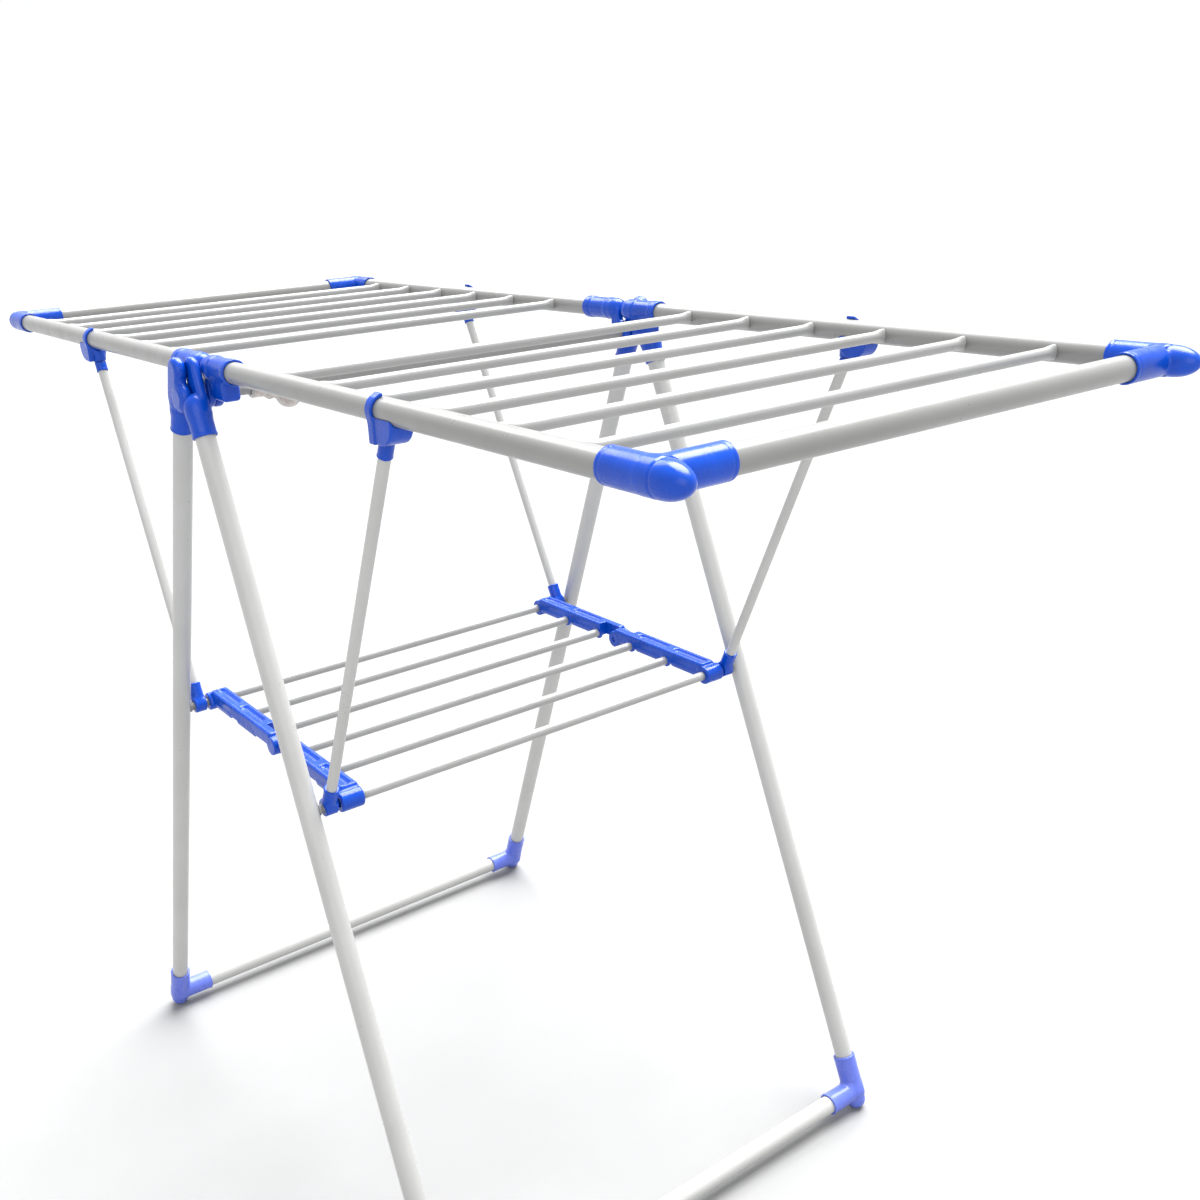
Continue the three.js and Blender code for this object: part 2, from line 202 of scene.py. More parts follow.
def skin(field, low, high, step):
    """Closed quad surface of a field's zero level, with each point pulled onto it."""
    low = np.array(low, float) - SKIN_MARGIN * step
    count = np.ceil((np.array(high, float) + SKIN_MARGIN * step - low) / step).astype(int) + 1
    axes = [low[i] + step * np.arange(count[i]) for i in range(3)]
    grid = np.stack(np.meshgrid(*axes, indexing="ij"), -1).reshape(-1, 3)
    value = field(grid).reshape(count)
    cells = count - 1
    total = np.zeros(tuple(cells) + (3,))
    hits = np.zeros(tuple(cells))
    crossings = []
    for axis in range(3):
        first = np.take(value, range(count[axis] - 1), axis)
        second = np.take(value, range(1, count[axis]), axis)
        i, j, k = np.nonzero((first < 0) != (second < 0))
        u, v = [n for n in range(3) if n != axis]
        index = np.stack([i, j, k], 1)
        inside_u = (index[:, u] > 0) & (index[:, u] < cells[u])
        inside_v = (index[:, v] > 0) & (index[:, v] < cells[v])
        index = index[inside_u & inside_v]
        a, b = first[tuple(index.T)], second[tuple(index.T)]
        point = low + index * step
        point[:, axis] += step * a / (a - b)
        corners = []
        for du, dv in ((0, 0), (1, 0), (1, 1), (0, 1)):
            cell = index.copy()
            cell[:, u] -= du
            cell[:, v] -= dv
            corners.append(cell)
            np.add.at(total, tuple(cell.T), point)
            np.add.at(hits, tuple(cell.T), 1)
        crossings.append((corners, (a < 0) != (axis == 1)))
    used = hits > 0
    number = -np.ones(tuple(cells), int)
    number[used] = np.arange(used.sum())
    verts = total[used] / hits[used][:, None]
    faces = []
    for corners, flip in crossings:
        quad = np.stack([number[tuple(c.T)] for c in corners], 1)
        quad[~flip] = quad[~flip][:, ::-1]
        faces.append(quad[:, ::-1])
    for _ in range(PULLS):
        slope = np.stack([
            field(verts + d) - field(verts - d) for d in np.eye(3) * SLOPE_STEP
        ], 1) / (2 * SLOPE_STEP)
        size = np.maximum((slope**2).sum(1), 0.2)
        move = -(field(verts) / size)[:, None] * slope
        verts = verts + np.clip(move, -0.4 * step, 0.4 * step)
    return verts, np.concatenate(faces)


# ---- ring-built round stock --------------------------------------------------------------
SIDES = 40


def stock(rings, centres, u, v):
    """Quads between rings of points, the last joined to the first. Each centre has radii
    (along u, along v) in rings."""
    turn = np.arange(SIDES) * 2 * math.pi / SIDES
    verts = np.concatenate([
        np.array(c, float) + np.outer(np.cos(turn) * ru, u) + np.outer(np.sin(turn) * rv, v)
        for (ru, rv), c in zip(rings, centres)
    ])
    faces = []
    n = len(centres)
    for i in range(n):
        a, b = i * SIDES, ((i + 1) % n) * SIDES
        for s in range(SIDES):
            t = (s + 1) % SIDES
            faces.append((a + s, a + t, b + t, b + s))
    return verts, faces


def across(u):
    """Two directions square to u."""
    u = np.array(u, float)
    side = np.cross(u, [0, 0, 1.0])
    if np.linalg.norm(side) < 1e-6:
        side = np.array([1.0, 0, 0])
    side /= np.linalg.norm(side)
    return side, np.cross(u, side)


def pipe(a, b, r, wall=WALL):
    """Open tube with turned-in rims, as a closed shell with inner and outer walls."""
    a, b = np.array(a, float), np.array(b, float)
    length = np.linalg.norm(b - a)
    along = (b - a) / length
    side, up = across(along)
    rim, bands = 0.25, 12
    steps = [(0, r - rim), (rim, r)]
    steps += [(rim + (length - 2 * rim) * i / bands, r) for i in range(1, bands)]
    steps += [(length - rim, r), (length, r - rim), (length, r - wall), (0, r - wall)]
    return stock([(q, q) for _, q in steps], [a + along * t for t, _ in steps], side, up)


def rod(half, swaged):
    """Rod along Y. Swaged ends are pressed to upright ovals where they meet a rail."""
    side, up = np.array([1.0, 0, 0]), np.array([0, 0, 1.0])
    narrower, taller, rim, plain_end, bands = 2.6, 1.6, 0.3, 40, 9
    # distance from the end, and how far the oval is pressed there
    stations = [(0, 0), (0.4, 0), (9, 0)]
    if swaged:
        stations = [(0, 1), (0.4, 1), (3, 1), (7, 0.75), (12, 0.2), (17, 0)]
    outer = []
    for distance, press in stations:
        trim = rim if distance == 0 else 0
        outer.append((distance - half, ROD_R - narrower * press - trim,
                      ROD_R + taller * press - trim))
    straight = [(y, ROD_R, ROD_R) for y in np.linspace(-half + plain_end, half - plain_end, bands)]
    mirror = [(-y, ru, rv) for y, ru, rv in reversed(outer)]
    whole = outer + straight + mirror
    rings = whole + [(y, ru - WALL, rv - WALL) for y, ru, rv in reversed(whole)]
    return stock([(ru, rv) for _, ru, rv in rings], [(0, y, 0) for y, _, _ in rings], side, up)


# ---- materials -----------------------------------------------------------------------
class Nodes:
    """A material's node tree, in object space."""

    def __init__(self, name):
        self.material = bpy.data.materials.new(name)
        self.material.use_nodes = True
        self.tree = self.material.node_tree
        self.shader = self.tree.nodes["Principled BSDF"]
        self.coords = self.add("ShaderNodeTexCoord").outputs["Object"]

    def add(self, kind, **values):
        node = self.tree.nodes.new(kind)
        for key, value in values.items():
            if key in node.inputs:
                node.inputs[key].default_value = value
            else:
                setattr(node, key, value)
        return node

    def link(self, a, b):
        self.tree.links.new(a, b)

    def noise(self, scale, detail=3.0, rough=0.55, stretch=None):
        node = self.add("ShaderNodeTexNoise", Scale=scale, Detail=detail, Roughness=rough)
        source = self.coords
        if stretch:
            mapping = self.add("ShaderNodeMapping")
            mapping.inputs["Scale"].default_value = stretch
            self.link(source, mapping.inputs["Vector"])
            source = mapping.outputs["Vector"]
        self.link(source, node.inputs["Vector"])
        return node.outputs["Fac"]

    def ramp(self, source, stops):
        node = self.add("ShaderNodeValToRGB")
        elements = node.color_ramp.elements
        while len(elements) < len(stops):
            elements.new(0.5)
        for element, (position, colour) in zip(elements, stops):
            element.position = position
            element.color = (*colour, 1) if len(colour) == 3 else colour
        self.link(source, node.inputs["Fac"])
        return node.outputs["Color"]

    def span(self, source, low, high, from_low=0.3, from_high=0.7):
        node = self.add("ShaderNodeMapRange")
        limits = {"From Min": from_low, "From Max": from_high, "To Min": low, "To Max": high}
        for key, value in limits.items():
            node.inputs[key].default_value = value
        self.link(source, node.inputs["Value"])
        return node.outputs["Result"]

    def mix(self, factor, a, b):
        node = self.add("ShaderNodeMix", data_type="RGBA")
        for socket, value in ((node.inputs[0], factor), (node.inputs[6], a), (node.inputs[7], b)):
            if isinstance(value, bpy.types.NodeSocket):
                self.link(value, socket)
            else:
                socket.default_value = value
        return node.outputs[2]

    def bump(self, source, strength, distance, previous=None):
        node = self.add("ShaderNodeBump", Strength=strength, Distance=distance)
        self.link(source, node.inputs["Height"])
        if previous is not None:
            self.link(previous, node.inputs["Normal"])
        return node.outputs["Normal"]

    def socket(self, name, value):
        if isinstance(value, bpy.types.NodeSocket):
            self.link(value, self.shader.inputs[name])
        else:
            self.shader.inputs[name].default_value = value


def powder_coat(name, tint):
    """White powder coat: orange-peel skin, faint clouding, handling marks and specks."""
    n = Nodes(name)
    light = tuple(c * 1.03 for c in tint)
    shade = (tint[0] * 0.95, tint[1] * 0.95, tint[2] * 0.94)
    base = n.ramp(n.noise(9, 4), [(0.35, shade), (0.65, light)])
    grime = n.ramp(n.noise(38, 6, 0.7, (1, 0.4, 1)), [(0.66, (0, 0, 0)), (0.8, (1, 1, 1))])
    weak = n.span(grime, 0.0, 0.12, 0.0, 1.0)
    base = n.mix(weak, base, (tint[0] * 0.72, tint[1] * 0.71, tint[2] * 0.68, 1))
    speck = n.ramp(n.noise(900, 2), [(0.76, (0, 0, 0)), (0.8, (1, 1, 1))])
    base = n.mix(n.span(speck, 0.0, 0.2, 0.0, 1.0), base, (0.2, 0.2, 0.19, 1))
    n.socket("Base Color", base)
    n.socket("Roughness", n.span(n.noise(55, 5, 0.65), 0.26, 0.44))
    n.socket("Metallic", 0.0)
    n.socket("IOR", 1.5)
    n.socket("Coat Weight", 0.25)
    n.socket("Coat Roughness", 0.22)
    peel = n.bump(n.noise(620, 2, 0.5), 0.08, 0.0003)
    drift = n.bump(n.noise(45, 2, 0.5), 0.02, 0.001, peel)
    n.socket("Normal", drift)
    return n.material


def blue_plastic(name, deep, body, pale):
    """Glossy moulded plastic: flow marks, fine texture, paler worn edges, hairline scuffs."""
    n = Nodes(name)
    flow = n.noise(22, 5, 0.6, (1, 1, 0.35))
    base = n.ramp(flow, [(0.3, deep), (0.7, body)])
    edge = n.add("ShaderNodeNewGeometry").outputs["Pointiness"]
    wear = n.span(edge, 0.0, 0.4, 0.53, 0.64)
    base = n.mix(wear, base, pale)
    scuff = n.ramp(n.noise(140, 4, 0.7, (0.25, 1, 1.6)), [(0.68, (0, 0, 0)), (0.74, (1, 1, 1))])
    base = n.mix(n.span(scuff, 0.0, 0.06, 0.0, 1.0), base, (0.12, 0.22, 0.7, 1))
    n.socket("Base Color", base)
    n.socket("Roughness", n.span(n.noise(70, 5, 0.6), 0.17, 0.36))
    n.socket("IOR", 1.49)
    n.socket("Specular IOR Level", 0.3)
    n.socket("Coat Weight", 0.1)
    n.socket("Coat Roughness", 0.1)
    fine = n.bump(n.noise(1500, 2, 0.5), 0.03, 0.0002)
    sink = n.bump(n.noise(60, 2, 0.5), 0.01, 0.001, fine)
    n.socket("Normal", sink)
    return n.material


def clear_plastic():
    """Cloudy clear plastic, with haze and small bubbles."""
    n = Nodes("clear_plastic_look")
    base = n.ramp(n.noise(60, 4), [(0.35, (0.36, 0.31, 0.27)), (0.65, (0.46, 0.41, 0.37))])
    n.socket("Base Color", base)
    n.socket("Roughness", n.span(n.noise(120, 4), 0.18, 0.42))
    n.socket("Transmission Weight", 0.15)
    n.socket("IOR", 1.46)
    n.socket("Normal", n.bump(n.noise(400, 3), 0.25, 0.0006))
    return n.material


# Three copies of one white powder coat, each set to its own brightness as painted light and shade:
# the rails, end tubes, axle and pins darkest for painted shade, the rods a little lighter, the
# legs, floor tubes and struts lightest for painted light.
SHADED_WHITE = powder_coat("white_tube_look", (0.225, 0.225, 0.218))
LIT_LEG_WHITE = powder_coat("white_leg_look", (0.41, 0.41, 0.40))
SHADED_ROD_WHITE = powder_coat("white_rod_look", (0.30, 0.30, 0.295))
BLUE = blue_plastic("blue_plastic_look", deep=(0.0, 0.044, 0.36, 1),
                    body=(0.0, 0.058, 0.46, 1), pale=(0.01, 0.10, 0.52, 1))
# The feet get a paler copy of the same blue plastic: painted light, standing in for glare that
# washes out the low parts of the frame.
LIT_FOOT_BLUE = blue_plastic("blue_foot_look", deep=(0.09, 0.13, 0.50, 1),
                         body=(0.12, 0.165, 0.60, 1), pale=(0.16, 0.21, 0.66, 1))
CLEAR = clear_plastic()
LOOKS = {"blue_plastic": BLUE, "clear_plastic": CLEAR, "white_rod": SHADED_ROD_WHITE}
slots = {s["node"]: s["material_slot"] for s in frame["record"]["subparts"]}
for obj in frame["nodes"].values():
    obj.data.materials.clear()
    obj.data.materials.append(LOOKS.get(slots[obj.name], SHADED_WHITE))


# ---- placing -------------------------------------------------------------------------
CREASE = math.radians(40)


def put(name, base, at, body, look, slot, side_x=1, side_y=1, lean=0.0, replaces=None):
    """Makes a piece from (points, faces) drawn for the right, far side, in millimetres."""
    verts, faces = base
    spin = Matrix.Rotation(lean, 4, "Y")
    place = Matrix.Translation(Vector(at)) @ spin @ Matrix.Diagonal((side_x, side_y, 1, 1))
    points = np.asarray(verts, float) @ np.array(place.to_3x3()).T + np.array(place.translation)
    quads = np.asarray(faces)
    if side_x * side_y < 0:
        quads = quads[:, ::-1]
    mesh = bpy.data.meshes.new(name)
    mesh.from_pydata((points * MM).tolist(), [], quads.tolist())
    mesh.shade_smooth()
    mesh.set_sharp_from_angle(angle=CREASE)
    mesh.materials.append(look)
    piece = bpy.data.objects.new(name, mesh)
    bpy.context.scene.collection.objects.link(piece)
    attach(piece, body)
    if replaces:
        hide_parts(replaces)
    return piece


def blue(name, base, at, body, look=BLUE, **more):
    return put(name, base, at, body, look, "blue_plastic", **more)


def white(name, base, at, body, look=SHADED_WHITE, **more):
    return put(name, base, at, body, look, "white_tube", **more)


# ---- moulded shapes --------------------------------------------------------------------
def leg_head(is_outer):
    """Sleeve on a leg's top, under a half-thickness lobe that turns on the axle. Own and
    other are the parts of the hub's thickness that the two heads take."""
    x = LEG_OFFSET
    inside = RAIL_PLANE + SLEEVE_R + GAP - LEG_PLANE
    own = (GAP, SLEEVE_R) if is_outer else (inside, -GAP)
    other = (-THROUGH, 0.0) if is_outer else (0.0, THROUGH)
    depth = AXLE_HALF - LEG_PLANE + GAP if is_outer else THROUGH
    edge = 6.0 if is_outer else 4.6
    shoulder_low, shoulder = (x, 0, -24), (x, 0, -14)

    def field(p):
        barrel = cyl(p, (x, 0, -HEAD_LENGTH), (x, 0, -16), SLEEVE_R - 0.7, 1.2)
        barrel = join(1.5, barrel, pill(p, shoulder_low, shoulder, SLEEVE_R),
                      cyl(p, shoulder_low, shoulder, SLEEVE_R, 1.0),
                      ring(p, (x, 0, -HEAD_LENGTH + 2), (0, 0, 1), SLEEVE_R - 1.4, 1.1))
        relief = cyl(p, (0, other[0], 0), (0, other[1], 0), HEAD_EYE_R + 0.5, 0.2)
        barrel = carve(barrel, relief, k=0.8)
        flat = p * (1, 0, 1)
        outline = join(5, pill(flat, (x, 0, -6), (x, 0, LOBE_TOP), SLEEVE_R),
                       orb(flat, (0, 0, 0), HEAD_EYE_R))
        body = join(2.5, barrel, plate(p, own[0], own[1], outline, edge))
        if is_outer:
            body = join(1.5, body, cyl(p, (0, 0, 0), (0, own[1] + 0.6, 0), AXLE_R + 4, 0.8))
        axle_bore = cyl(p, (0, -THROUGH, 0), (0, depth, 0), AXLE_R + BORE_EASE, CRISP)
        tube_bore = cyl(p, (x, 0, -HEAD_LENGTH - 4), (x, 0, GAP - LEG_TOP), LEG_R + GAP, CRISP)
        return carve(body, axle_bore, tube_bore)

    return skin(field, (-17, -14, -48), (30, 15, 38), 1.1)


def foot():
    """Elbow between a leg and its floor bar, flat where it stands on the floor."""
    down = np.array([math.sin(LEG_ANGLE), 0, -math.cos(LEG_ANGLE)])
    toe = (FOOT_HEIGHT - TOE_R + 1) / math.cos(LEG_ANGLE)
    mouth, bore_r = 1.6 - SLEEVE, LEG_R + GAP

    def field(p):
        upper = cyl(p, down * -SLEEVE, down * 4, SLEEVE_R, 1.0)
        heel = pill(p, down * -6, down * toe, TOE_R)
        sleeve = cyl(p, (0, -SLEEVE, 0), (0, 6, 0), SLEEVE_R - 0.4, 1.0)
        body = join(4, upper, heel, sleeve)
        body = join(1.0, body, ring(p, down * mouth, -down, SLEEVE_R - 0.9, 1.1),
                    ring(p, (0, mouth, 0), (0, 1, 0), SLEEVE_R - 1.3, 1.1))
        under_floor = -FOOT_HEIGHT - p[:, 2]
        body = -join(0.6, -body, -under_floor)
        return carve(body, cyl(p, down * (-SLEEVE - 4), down * (GAP - TUBE_SHORT), bore_r, CRISP),
                     cyl(p, (0, -SLEEVE - 4, 0), (0, GAP - TUBE_SHORT, 0), bore_r, CRISP))

    return skin(field, (-32, -47, -23), (20, 14, 50), 1.2)


def rail_socket(is_right):
    """Sleeve on a rail's inner end, with a half-thickness eye that hangs down to the axle."""
    z, radius, start, reach = DROP, SLEEVE_R - 0.4, SLEEVE_R + 0.6, SOCKET_REACH
    own = (GAP, CHEEK) if is_right else (-CHEEK, -GAP)
    neck_x, neck_r = 8.5, 7.5

    def field(p):
        sleeve = join(2, pill(p, (start, 0, z), (start + 10, 0, z), radius),
                      cyl(p, (start, 0, z), (reach, 0, z), radius, 1.0))
        collar = cyl(p, (reach - 11, 0, z), (reach, 0, z), radius + 0.7, 1.2)
        waist = cyl(p, (start + 9, 0, z), (start + 14, 0, z), radius + 0.5, 1.2)
        flat = p * (1, 0, 1)
        neck = pill(flat, (neck_x, 0, 0), (neck_x, 0, z - 3), neck_r)
        outline = join(6, orb(flat, (0, 0, 0), SOCKET_EYE_R), neck)
        body = join(2.5, sleeve, plate(p, own[0], own[1], outline, 2.5))
        body = join(1.2, body, collar, waist)
        if is_right:
            body = join(3, body, brick(p, (24, -CHEEK, z - 30), (58, CHEEK, z - 4), 4.0))
        rail_bore = cyl(p, (RAIL_START - GAP, 0, z), (reach + 4, 0, z), RAIL_R + GAP, CRISP)
        axle_bore = cyl(p, (0, -THROUGH, 0), (0, THROUGH, 0), AXLE_R + BORE_EASE, CRISP)
        return carve(body, rail_bore, axle_bore)

    return skin(field, (-15, -14, -15), (reach + 1, 14, z + 14), 1.05)


def corner():
    """Elbow between a rail and the wing's end tube, with a long nose past the rail's end."""
    nose_start, bore_r = 8, RAIL_R + GAP

    def field(p):
        nose = egg(p, (nose_start, 0, 0), (CORNER_NOSE - nose_start, SLEEVE_R, SLEEVE_R))
        barrel = np.linalg.norm(p[:, 1:], axis=1) - SLEEVE_R
        nose = np.where(p[:, 0] > nose_start, nose, barrel)
        nose = np.maximum(nose, -nose_start - p[:, 0])
        body = join(0.8, cyl(p, (-SLEEVE, 0, 0), (6, 0, 0), SLEEVE_R, 1.0), nose)
        body = join(2.5, body, cyl(p, (0, -CORNER_SLEEVE, 0), (0, 0, 0), SLEEVE_R, 1.0))
        body = carve(body, ring(p, (7, 0, 0), (1, 0, 0), SLEEVE_R + 0.35, 0.8),
                     ring(p, (-SLEEVE + 4, 0, 0), (1, 0, 0), SLEEVE_R + 0.3, 0.7),
                     ring(p, (0, 4 - CORNER_SLEEVE, 0), (0, 1, 0), SLEEVE_R + 0.3, 0.7), k=0.4)
        return carve(body, cyl(p, (-SLEEVE - 4, 0, 0), (GAP - TUBE_SHORT, 0, 0), bore_r, CRISP),
                     cyl(p, (0, -CORNER_SLEEVE - 4, 0), (0, GAP - TUBE_SHORT, 0), bore_r, CRISP))

    return skin(field, (-SLEEVE, -CORNER_SLEEVE, -14), (CORNER_NOSE, 14, 14), 1.2)


def strut_clip():
    """D-shaped cradle under a rail, with a strap over it and a boss above the strut's top."""
    bead_y, bead_z = 2.5, RAIL_R + 1.6
    boss_x, boss_y = -13, -2

    def field(p):
        flat = p * (1, 0, 1)
        outline = -join(2, -4 - p[:, 2], -orb(flat, (0, 0, -9), 18.0))
        cradle = plate(p, -11, 11, outline, 1.5)
        strap = cyl(p, (STRAP_LOW, 0, 0), (STRAP_HIGH, 0, 0), RAIL_R + 3.0, 1.0)
        strap = carve(strap, brick(p, (-20, -20, -7), (20, 2, 20), 0.5))
        bead = cyl(p, (STRAP_LOW, bead_y, bead_z), (STRAP_HIGH, bead_y, bead_z), 1.4, 0.4)
        spine = brick(p, (STRAP_LOW, 6, -CLIP_DROP), (STRAP_HIGH, 12.2, -4), 1.2)
        boss = cyl(p, (boss_x, boss_y, -CLIP_DROP), (boss_x, boss_y, -14), 8.0, 1.0)
        body = join(2.0, cradle, strap, spine, bead, boss)
        body = np.maximum(body, -CLIP_DROP - p[:, 2])
        return carve(body, cyl(p, (-30, 0, 0), (30, 0, 0), RAIL_R + GAP, CRISP))

    return skin(field, (-22, -12, -28), (18, 15, 15), 0.9)


def shelf_bar(is_outer):
    """Scalloped bar from the leg's pin to the middle knuckle, hollow underneath."""
    top, low = BAR_ABOVE, -BAR_BELOW
    own = (GAP, BAR_HALF) if is_outer else (-BAR_HALF, -GAP)
    other = (-30.0, GAP) if is_outer else (-GAP, 30.0)
    skirt_half, dip_half, dip_r, boss_r = 26, 24, 6.5, 8.0
    inner = BAR_HALF - 3

    def field(p):
        body = brick(p, (-SHELF_HALF, -BAR_HALF, low + 2), (-2, BAR_HALF, top), 4.0)
        body = join(3.0, body, cyl(p, (0, -BAR_HALF, 0), (0, BAR_HALF + 4, 0), KNUCKLE_R, 1.5))
        for bay in (0.5, 1.5):
            x = -bay * SHELF_PITCH
            skirt = brick(p, (x - skirt_half, -BAR_HALF, low),
                          (x + skirt_half, BAR_HALF, low + 9), 3.0)
            body = join(2.0, body, skirt)
            dip = pill(p, (x - dip_half, 0, top + 3), (x + dip_half, 0, top + 3), dip_r)
            body = carve(body, dip, k=1.5)
        for x in (-SHELF_PITCH, -2 * SHELF_PITCH):
            boss = cyl(p, (x, -BAR_HALF - 0.6, 0), (x, -BAR_HALF + 4, 0), boss_r, 1.0)
            body = join(2.0, body, boss)
        hollow = brick(p, (-SHELF_HALF + LAP + 3, -inner, low - 9), (-15, inner, top - 6.5), 1.0)
        lap = brick(p, (-SHELF_HALF - 30, other[0], -40), (-SHELF_HALF + LAP, other[1], 40), 0.2)
        body = carve(body, hollow, lap)
        knuckle = cyl(p, (-SHELF_HALF, own[0], 0), (-SHELF_HALF, own[1], 0), KNUCKLE_R, 1.0)
        body = join(1.0, body, knuckle)
        body = carve(body, cyl(p, (0, 4 - BAR_HALF, 0), (0, 30, 0), STUB_R + GAP, CRISP))
        if is_outer:
            pin = cyl(p, (-SHELF_HALF, 1, 0), (-SHELF_HALF, 1 - BAR_HALF, 0), KNUCKLE_PIN_R, 0.3)
            return np.minimum(body, pin)
        return carve(body, cyl(p, (-SHELF_HALF, -30, 0), (-SHELF_HALF, 30, 0),
                               KNUCKLE_PIN_R + GAP, CRISP))

    return skin(field, (-SHELF_HALF - 12, -12, -12), (12, 16, 16), 1.1)


def strut_parts():
    """A strut's tube, the eye at its foot and the ferrule at its top, about the eye."""
    top = np.array([CLIP_REACH - SHELF_HALF, RAIL_PLANE - STRUT_PLANE - STRUT_INSET,
                    WING_HEIGHT - SHELF_HEIGHT])
    length = np.linalg.norm(top)
    u = top / length
    lid = top[2] - CLIP_DROP - CLIP_EASE
    tip = lid / u[2]

    def lower(p):
        eye = cyl(p, (0, -7, 0), (0, 7, 0), 9.5, 1.2)
        body = join(3, eye, cyl(p, u * 4, u * 27, FERRULE_R, 1.0))
        body = join(0.8, body, ring(p, u * 25.4, u, FERRULE_R - 0.6, 0.8))
        return carve(body, cyl(p, (0, -THROUGH, 0), (0, THROUGH, 0), STUB_R + GAP, CRISP))

    def upper(p):
        q = p + u * tip
        body = cyl(q, u * (tip - 14), u * (tip + 12), FERRULE_R - 1.1, 0.8)
        body = join(0.8, body, ring(q, u * (tip - 12.8), u, FERRULE_R - 1.6, 0.7))
        return np.maximum(body, q[:, 2] - lid)

    tube = pipe(u * 16, u * (tip - 8), STRUT_R, STRUT_WALL)
    end = skin(upper, (-30, -9, -30), (14, 9, 2), 0.9)
    return tube, skin(lower, (-10, -9, -10), (26, 9, 40), 0.9), (end[0] + u * tip, end[1])


def hanger():
    """Cloudy clip on the axle: a sleeve, a neck and a drooping lobe."""
    def field(p):
        sleeve = cyl(p, (0, -24, 0), (0, -4, 0), 11, 3)
        neck = cyl(p, (0, -6, -3), (0, 8, -6), 9.5, 2)
        body = join(3, sleeve, neck, egg(p, (0, 20, -12), (14.4, 14.6, 14.8)))
        body = join(2, body, orb(p, (0, -2, -11.5), 3.6))
        return carve(body, cyl(p, (0, -60, 0), (0, 60, 0), AXLE_R + GAP, CRISP))

    return skin(field, (-15, -25, -27), (15, 35, 12), 1.1)


def leg_tube():
    return pipe((LEG_OFFSET, 0, -LEG_TOP), (LEG_OFFSET, 0, TUBE_SHORT - LEG_LENGTH), LEG_R)


def stub(reach):
    """The shelf pin with its weld bead, from the leg's wall inwards."""
    x = LEG_OFFSET
    end = reach - LEG_PLANE

    def field(p):
        pin = cyl(p, (x, -LEG_R + 1.5, -SHELF_DOWN), (x, end, -SHELF_DOWN), STUB_R, 0.5)
        weld = ring(p, (x, -LEG_R - 0.3, -SHELF_DOWN), (0, 1, 0), STUB_R + 0.4, 1.3)
        tube = np.hypot(p[:, 0] - x, p[:, 1]) - (LEG_R - 0.3)
        return carve(join(1.5, pin, weld), tube, k=0.2)

    return skin(field, (x - 8, end, -SHELF_DOWN - 8), (x + 8, -LEG_R + 2, -SHELF_DOWN + 8), 0.9)


# ---- leg frames ------------------------------------------------------------------------
foot_shape, tube_shape = foot(), leg_tube()
for leg, side_x, _ in LEGS:
    body = f"leg_frame_{leg}"
    head_shape, stub_shape = leg_head(leg == "a"), stub(PIN_END[leg])
    for end, side_y in ENDS:
        top = (0, side_y * LEG_PLANE, AXLE_Z)
        hand = {"side_x": side_x, "side_y": side_y, "lean": -side_x * LEG_ANGLE}
        white(f"leg_tube_{leg}_{end}", tube_shape, top, body, LIT_LEG_WHITE,
              replaces=f"leg_{leg}_{end}", **hand)
        white(f"shelf_pin_{leg}_{end}", stub_shape, top, body, **hand)
        blue(f"hub_head_{leg}_{end}", head_shape, top, body,
             replaces=f"leg_head_{leg}_{end}", **hand)
        at = (side_x * FOOT_SPREAD, side_y * LEG_PLANE, FOOT_HEIGHT)
        blue(f"foot_elbow_{leg}_{end}", foot_shape, at, body, LIT_FOOT_BLUE,
             side_x=side_x, side_y=side_y, replaces=f"foot_{leg}_{end}")
    half_bar = LEG_PLANE - TUBE_SHORT
    bar_shape = pipe((0, -half_bar, 0), (0, half_bar, 0), LEG_R)
    white(f"floor_tube_{leg}", bar_shape, (side_x * FOOT_SPREAD, 0, FOOT_HEIGHT), body,
          LIT_LEG_WHITE, replaces=f"floor_bar_{leg}")
white("hub_axle", pipe((0, -AXLE_HALF, 0), (0, AXLE_HALF, 0), AXLE_R), (0, 0, AXLE_Z),
      "leg_frame_a", replaces="axle")
put("hanger_lobe", hanger(), (0, HANGER_Y, AXLE_Z), "leg_frame_a", CLEAR, "clear_plastic",
    replaces="hanger_clip")


# ---- wings -----------------------------------------------------------------------------
corner_shape, clip_shape = corner(), strut_clip()
for wing, side_x in WINGS:
    body = f"wing_{wing}"
    socket_shape = rail_socket(side_x > 0)
    rail_end = side_x * (WING_LENGTH - TUBE_SHORT)
    rail_shape = pipe((side_x * RAIL_START, 0, 0), (rail_end, 0, 0), RAIL_R)
    for end, side_y in ENDS:
        y = side_y * RAIL_PLANE
        hand = {"side_x": side_x, "side_y": side_y}
        white(f"rail_tube_{wing}_{end}", rail_shape, (0, y, WING_HEIGHT), body,
              replaces=f"rail_{wing}_{end}")
        blue(f"hub_socket_{wing}_{end}", socket_shape, (0, y, AXLE_Z), body,
             replaces=f"rail_socket_{wing}_{end}", **hand)
        blue(f"corner_cap_{wing}_{end}", corner_shape, (side_x * WING_LENGTH, y, WING_HEIGHT), body,
             replaces=f"corner_{wing}_{end}", **hand)
        blue(f"rail_clip_{wing}_{end}", clip_shape, (side_x * CLIP_REACH, y, WING_HEIGHT), body,
             replaces=f"strut_clip_{wing}_{end}", **hand)
    end_half = RAIL_PLANE - TUBE_SHORT
    white(f"wing_end_{wing}", pipe((0, -end_half, 0), (0, end_half, 0), RAIL_R),
          (side_x * WING_LENGTH, 0, WING_HEIGHT), body, replaces=f"end_tube_{wing}")
    rod_shape = rod(RAIL_PLANE - RAIL_R - 0.2, True)
    for i in range(1, WING_RODS + 1):
        node = f"wing_rod_{wing}_{i}"
        put(f"drying_rod_{wing}_{i}", rod_shape, (middle(node).x, 0, WING_HEIGHT), body,
            SHADED_ROD_WHITE, "white_rod", replaces=node)


